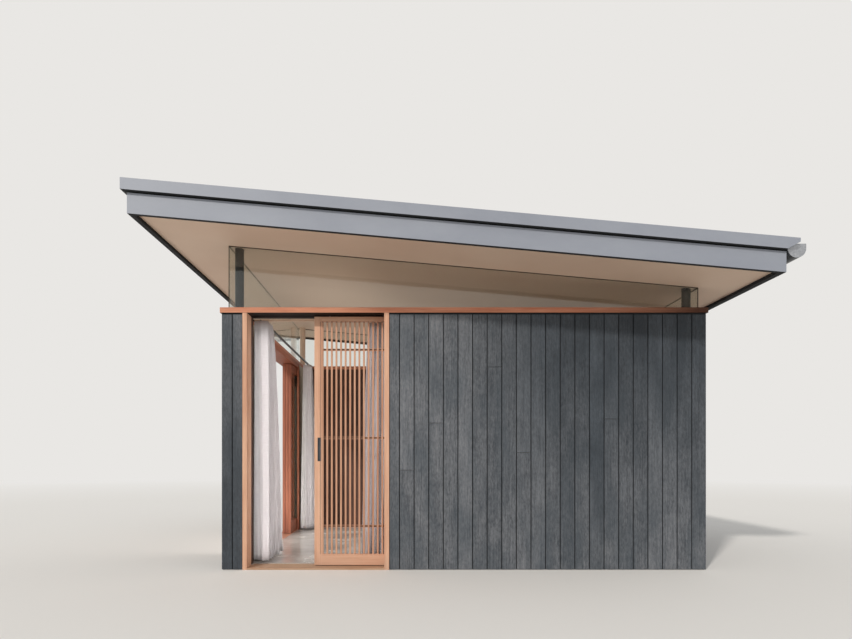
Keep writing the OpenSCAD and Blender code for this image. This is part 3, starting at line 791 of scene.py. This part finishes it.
def gatheredCloth(look, seed):
    # Along the track the cloth goes s, plus a swing of twice the folds' number; across it, a sine of the
    # folds, whose depth grows from the pleated heading to the hem. Small ripples lie on that line along its
    # normal. Returns the points and the distance along the cloth
    chance = np.random.default_rng(seed)
    s = np.linspace(0, 1, curtainLook["across"])[None, :]
    t = np.linspace(0, 1, curtainLook["down"])[:, None]
    sway = chance.uniform(-1, 1, 6)
    broad = sway[0] * np.sin(math.tau * (2 * s + 0.4 * t))
    narrow = sway[1] * np.sin(math.tau * (5 * s - 0.5 * t))
    swayed = s + 0.012 * (broad + narrow)
    phase = math.tau * look["folds"] * swayed
    uneven = 0.86 + 0.09 * np.sin(math.tau * (3.3 * s + sway[2]))
    uneven = uneven + 0.05 * np.sin(math.tau * (7.1 * s + sway[3] + 0.3 * t))
    deep = look["deepTop"] + (look["deepBottom"] - look["deepTop"]) * t ** look["flare"]
    across = deep * uneven * np.sin(phase)
    swing = curtainLook["roundness"] * np.sin(2 * phase) / (2 * math.pi * look["folds"])
    along = spreadOf(look, t) * (s + swing)
    steps = np.hypot(np.gradient(along, axis=1), np.gradient(across, axis=1))
    arc = np.cumsum(steps, 1)
    normal = np.stack([-np.gradient(across, axis=1), np.gradient(along, axis=1)]) / steps
    wander = 2 * np.sin(math.tau * (arc / 0.31 + sway[4] + 0.2 * t))
    small = np.sin(math.tau * arc / curtainLook["rippleLength"] + wander)
    small = curtainLook["ripple"] * small * (0.3 + 0.7 * t)
    along, across = along + normal[0] * small, across + normal[1] * small
    return along, across, arc, np.broadcast_to(t, along.shape)


def hangCurtain(name, node, look, seed):
    low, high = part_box(node)
    along, across, arc, t = gatheredCloth(look, seed)
    longWay = longWayOf(low, high)
    lean = leanOf(look, t, high[longWay] - low[longWay])
    points = np.empty((*along.shape, 3))
    points[..., longWay] = low[longWay] + lean + along
    points[..., 1 - longWay] = (low[1 - longWay] + high[1 - longWay]) / 2 + across
    head = high.z - curtainLook["headGap"]
    points[..., 2] = head + (low.z - head) * t
    rows, columns = along.shape
    number = np.arange(rows * columns).reshape(rows, columns)
    quads = np.stack([number[:-1, :-1], number[1:, :-1], number[1:, 1:], number[:-1, 1:]], -1).reshape(-1, 4)
    piece = addPiece(name, points, quads.tolist(), cloth, smooth=True)
    spread = np.stack([arc, (1 - t) * (head - low.z)], -1).reshape(-1, 2)
    layer = piece.data.uv_layers.new(name="cloth")
    corners = np.empty(len(piece.data.loops), np.int32)
    piece.data.loops.foreach_get("vertex_index", corners)
    layer.data.foreach_set("uv", spread[corners].astype(np.float32).ravel())
    skin = piece.modifiers.new("thickness", "SOLIDIFY")
    skin.thickness = curtainLook["thick"]
    skin.offset = 0
    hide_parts(node)
    return piece, (look["width"], float(head - low.z))


curtains = {
    # width of the cut cloth, number of folds, length taken up and depth of a fold at the track and at the
    # hem, below 0 where the first fold swings the other way, how fast both grow down the cloth, and which
    # end stays put: 0 the near or left one, 1 the other
    "corner_curtain": {
        "width": 2.6, "folds": 7, "top": 0.24, "bottom": 0.735, "deepTop": 0.078, "deepBottom": 0.098,
        "flare": 0.60, "anchor": 0.0,
    },
    "rear_curtain": {
        "width": 1.7, "folds": 5, "top": 0.12, "bottom": 0.30, "deepTop": -0.060, "deepBottom": -0.098,
        "flare": 0.8, "anchor": 0.0,
    },
    "door_curtain": {
        "width": 1.8, "folds": 7, "top": 0.41, "bottom": 0.515, "deepTop": 0.040, "deepBottom": 0.066,
        "flare": 0.6, "anchor": 0.65,
    },
}
for number, (nodeName, look) in enumerate(curtains.items()):
    piece, cut = hangCurtain(nodeName.replace("curtain", "cloth"), nodeName, look, 21 + number)


gliderLook = {
    "sides": 12,
    # radius and height of each ring under the track: a bead that the cloth hangs from, a neck and a disc
    "rings": [(0.0016, -0.0125), (0.0034, -0.0115), (0.0034, -0.0095), (0.0015, -0.0080), (0.0015, -0.0022),
              (0.0055, -0.0018), (0.0055, 0.0)],
}


def curtainGliders():
    # A profile of rings carried up each glider's axis, two gliders to a fold, where the cloth crosses its
    # track
    ring = turned(gliderLook)
    places = []
    for node, look in curtains.items():
        low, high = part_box(node)
        longWay = longWayOf(low, high)
        count = 2 * look["folds"] + 1
        spot = np.empty((count, 3))
        start = low[longWay] + leanOf(look, 0.0, high[longWay] - low[longWay])
        spot[:, longWay] = start + look["top"] * np.linspace(0.01, 0.99, count)
        spot[:, 1 - longWay] = (low[1 - longWay] + high[1 - longWay]) / 2
        spot[:, 2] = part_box("curtain_tracks")[0].z
        places.append(spot)
    points = np.concatenate(places)[:, None, None, :] + ring
    return addPiece("curtain_gliders", points, carried(points), blackPaint)


curtainGliders()
print("garden pod: the curtains hang")


# Screws along the roof sheet's ribs

roofLook = {"soffit": 2.740, "slope": math.tan(math.radians(5.1))}   # soffit's height where x is 0, and fall

screwLook = {
    "pitchOfRibs": 0.406,
    "rows": 6,
    "inFromEnds": 0.09,
    "inFromSides": 0.07,
    "ribInFromTop": 0.0024,   # the sheet's upper corner leans back from its lowest x
    "sides": 12,
    # radius and height of each ring, from the sheet up: washer, then the head
    "rings": [(0.009, -0.0004), (0.009, 0.0012), (0.0075, 0.0022), (0.0058, 0.0026), (0.0058, 0.0062),
              (0.0046, 0.0074)],
}


def roofScrews():
    # A profile of rings carried up each screw's axis, copied to every rib and batten
    low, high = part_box("roof_sheeting")
    x = np.linspace(low.x + screwLook["inFromEnds"], high.x - screwLook["inFromEnds"], screwLook["rows"])
    half = (high.y - low.y) / 2
    count = int((2 * half - 2 * screwLook["inFromSides"]) / screwLook["pitchOfRibs"]) + 1
    y = (np.arange(count) - (count - 1) / 2) * screwLook["pitchOfRibs"]
    place = np.stack([a.ravel() for a in np.meshgrid(x, y, indexing="ij")], 1)
    slope = roofLook["slope"]
    rise = high.z - (place[:, 0] - low.x - screwLook["ribInFromTop"]) * slope
    ring = turned(screwLook)
    ring[..., 2] -= ring[..., 0] * slope
    centre = np.stack([place[:, 0], place[:, 1], rise], -1)
    points = centre[:, None, None, :] + ring
    return addPiece("roof_screws", points, carried(points), zinc)


roofScrews()


# Dark beads where the clerestory's panes meet the soffit and each other

beadLook = {
    "wide": 0.006,
    "high": 0.007,
    "below": 0.0003,         # gap to the soffit
    "corner": 0.010,         # width of the upright beads where two panes meet
}
beadPaint = darkMetal("glassBead", paint(72, 60, 48), 0.5)


def barRings(start, end, wide, high, sideways):
    # A rectangle wide x high, carried from start to end; sideways is the unit vector of its width
    start, end, sideways = np.array(start, float), np.array(end, float), np.array(sideways, float)
    upright = np.cross(end - start, sideways)
    upright /= np.linalg.norm(upright)
    corners = [(-0.5, -0.5), (0.5, -0.5), (0.5, 0.5), (-0.5, 0.5)]
    section = np.array([a * wide * sideways + b * high * upright for a, b in corners])
    return np.stack([start + section, end + section])


def glassBeads():
    # Bars along each pane's top edge under the sloped soffit, and upright ones at the four corners
    paneLow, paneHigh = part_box("front_glass")
    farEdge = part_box("back_glass")[1].y
    sideLow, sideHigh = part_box("side_glass")
    wide, high, corner = beadLook["wide"], beadLook["high"], beadLook["corner"]

    def soffitAt(x):
        return roofLook["soffit"] - x * roofLook["slope"]

    rings = []
    for y in (paneLow.y - wide / 2, farEdge + wide / 2):
        ends = [(x, y, soffitAt(x) - high / 2 - beadLook["below"]) for x in (paneLow.x, paneHigh.x)]
        rings.append(barRings(ends[0], ends[1], wide, high, (0, 1, 0)))
    for x in (sideLow.x - wide / 2, sideHigh.x + wide / 2):
        z = min(soffitAt(x - wide / 2), soffitAt(x + wide / 2)) - high / 2 - beadLook["below"]
        rings.append(barRings((x, paneLow.y, z), (x, farEdge, z), wide, high, (1, 0, 0)))
        for y in (paneLow.y + corner / 2, farEdge - corner / 2):
            rings.append(barRings((x, y, paneLow.z), (x, y, z - high / 2), wide, corner, (1, 0, 0)))
    points = np.stack(rings)
    return addPiece("glass_beads", points, carried(points), beadPaint)


glassBeads()


# Plates that close the slots at the roof's two high corners, where the cappings meet

cornerLook = {"fold": 0.066, "wide": 0.120, "sheet": 0.003, "deep": 0.093, "seat": 0.0004}


def cappingEnds():
    low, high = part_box("roof_capping")
    # A flat bar between the folds at each high corner
    seat, sheet = cornerLook["seat"], cornerLook["sheet"]
    deep = cornerLook["deep"] - sheet - 2 * seat
    x, z = low.x + sheet / 2, high.z - cornerLook["deep"] + seat + deep / 2
    spans = [(low.y + cornerLook["fold"], low.y + cornerLook["wide"])]
    spans.append((high.y - cornerLook["wide"], high.y - cornerLook["fold"]))
    rings = [barRings((x, a + seat, z), (x, b - seat, z), sheet, deep, (1, 0, 0)) for a, b in spans]
    points = np.stack(rings)
    return addPiece("capping_ends", points, carried(points), greySheet)


cappingEnds()
print("garden pod: screws, beads and corner plates are in")


# Floor, background and light

stageLook = {
    "radius": 40.0,
    "floor": paint(226, 223, 218),
    "backdrop": paint(233, 231, 228),
    "fadeFrom": 11.0,        # distance from the middle at which the floor starts to fade into the backdrop
    "fadeTo": 26.0,
    "air": 0.62,             # strength of the even light from all round
    "sun": 2.0,
    "sunSize": 4.0,          # degrees
    "sunFromLeft": 30.0,     # of the front wall's normal
    "sunHeight": 33.0,
    # soft panels that neither the viewer nor mirrors see: middle, direction, width, height, watts and
    # spread in degrees. They stand for the daylight that comes in past the screen and through the side
    # opening and the far windows, and for what it throws up on the ceiling
    "panels": {
        "doorwayPanel": ((-1.70, -2.02, 1.12), (0, 1, 0), 0.46, 2.10, 2.7, 50),
        "screenPanel": ((-1.00, -1.715, 1.20), (0, 1, 0), 0.50, 2.10, 1.2, 180),
        "roomPanel": ((0.00, -0.60, 1.10), (-1, 0, 0), 2.00, 1.80, 20.0, 115),
        "floorPanel": ((-0.90, 0.00, 2.20), (0, 0, -1), 1.60, 2.60, 10.0, 90),
        "sidePanel": ((-2.00, -0.10, 1.20), (1, 0, 0), 1.55, 2.05, 9.0, 180),
        "ceilingPanel": ((-0.90, 0.90, 2.37), (0, 0, 1), 2.20, 1.90, 2.0, 180),
        "rearPanel": ((-1.92, -0.30, 0.42), (0, 1, 0), 0.40, 0.70, 0.8, 60),
    },
}


def addFloor():
    turn = np.linspace(0, math.tau, 97)[:-1]
    points = np.stack([stageLook["radius"] * np.cos(turn), stageLook["radius"] * np.sin(turn), 0 * turn], -1)
    mesh = bpy.data.meshes.new("studioFloor")
    mesh.from_pydata(points.tolist(), [], [list(range(len(turn)))])
    finish = Finish("studioFloor")
    place = finish.place()
    x, y, _ = finish.axes(place)
    far = finish.between((x * x + y * y) ** 0.5, stageLook["fadeFrom"], stageLook["fadeTo"])
    rays = finish.node("LightPath", out="Is Camera Ray")
    matt = finish.shader(Base_Color=stageLook["floor"], Roughness=0.85)
    glow = finish.node("Emission", None, {"Color": opaque(stageLook["backdrop"]), "Strength": 1.0})
    mesh.materials.append(finish.done(finish.node("MixShader", None, {0: far * rays, 1: matt, 2: glow})))
    floor = bpy.data.objects.new("studioFloor", mesh)
    scene.collection.objects.link(floor)


def addWorld():
    # The viewer, mirrors and glass see the pale backdrop, and everything else is lit by even air
    world = bpy.data.worlds.new("studio")
    world.use_nodes = True
    scene.world = world
    tree = world.node_tree
    tree.nodes.clear()
    paths = tree.nodes.new("ShaderNodeLightPath")
    direct = tree.nodes.new("ShaderNodeMath")
    direct.operation = "MAXIMUM"
    clear = tree.nodes.new("ShaderNodeMath")
    clear.operation = "MAXIMUM"
    backdrop = tree.nodes.new("ShaderNodeBackground")
    backdrop.inputs["Color"].default_value = opaque(stageLook["backdrop"])
    air = tree.nodes.new("ShaderNodeBackground")
    air.inputs["Color"].default_value = (0.96, 0.98, 1.0, 1.0)
    air.inputs["Strength"].default_value = stageLook["air"]
    mixed = tree.nodes.new("ShaderNodeMixShader")
    out = tree.nodes.new("ShaderNodeOutputWorld")
    tree.links.new(paths.outputs["Is Camera Ray"], direct.inputs[0])
    tree.links.new(paths.outputs["Is Glossy Ray"], direct.inputs[1])
    tree.links.new(direct.outputs[0], clear.inputs[0])
    tree.links.new(paths.outputs["Is Transmission Ray"], clear.inputs[1])
    tree.links.new(clear.outputs[0], mixed.inputs[0])
    tree.links.new(air.outputs[0], mixed.inputs[1])
    tree.links.new(backdrop.outputs[0], mixed.inputs[2])
    tree.links.new(mixed.outputs[0], out.inputs["Surface"])


def addSun():
    data = bpy.data.lights.new("studioSun", "SUN")
    data.energy = stageLook["sun"]
    data.angle = math.radians(stageLook["sunSize"])
    data.color = (1.0, 0.965, 0.92)
    lamp = bpy.data.objects.new("studioSun", data)
    left, rise = math.radians(stageLook["sunFromLeft"]), math.radians(stageLook["sunHeight"])
    towards = Vector((-math.sin(left) * math.cos(rise), -math.cos(left) * math.cos(rise), math.sin(rise)))
    lamp.rotation_euler = towards.to_track_quat("Z", "Y").to_euler()
    lamp.location = towards * 20
    scene.collection.objects.link(lamp)


def addPanels():
    for name, (middle, towards, wide, high, watts, spread) in stageLook["panels"].items():
        data = bpy.data.lights.new(name, "AREA")
        data.shape = "RECTANGLE"
        data.size, data.size_y = wide, high
        data.energy = watts
        data.spread = math.radians(spread)
        data.color = (1.0, 0.98, 0.96)
        panel = bpy.data.objects.new(name, data)
        panel.location = middle
        panel.rotation_euler = (-Vector(towards)).to_track_quat("Z", "Y").to_euler()
        panel.visible_camera = False
        panel.visible_glossy = False
        scene.collection.objects.link(panel)


addFloor()
addWorld()
addSun()
addPanels()
print("garden pod: the studio is lit")
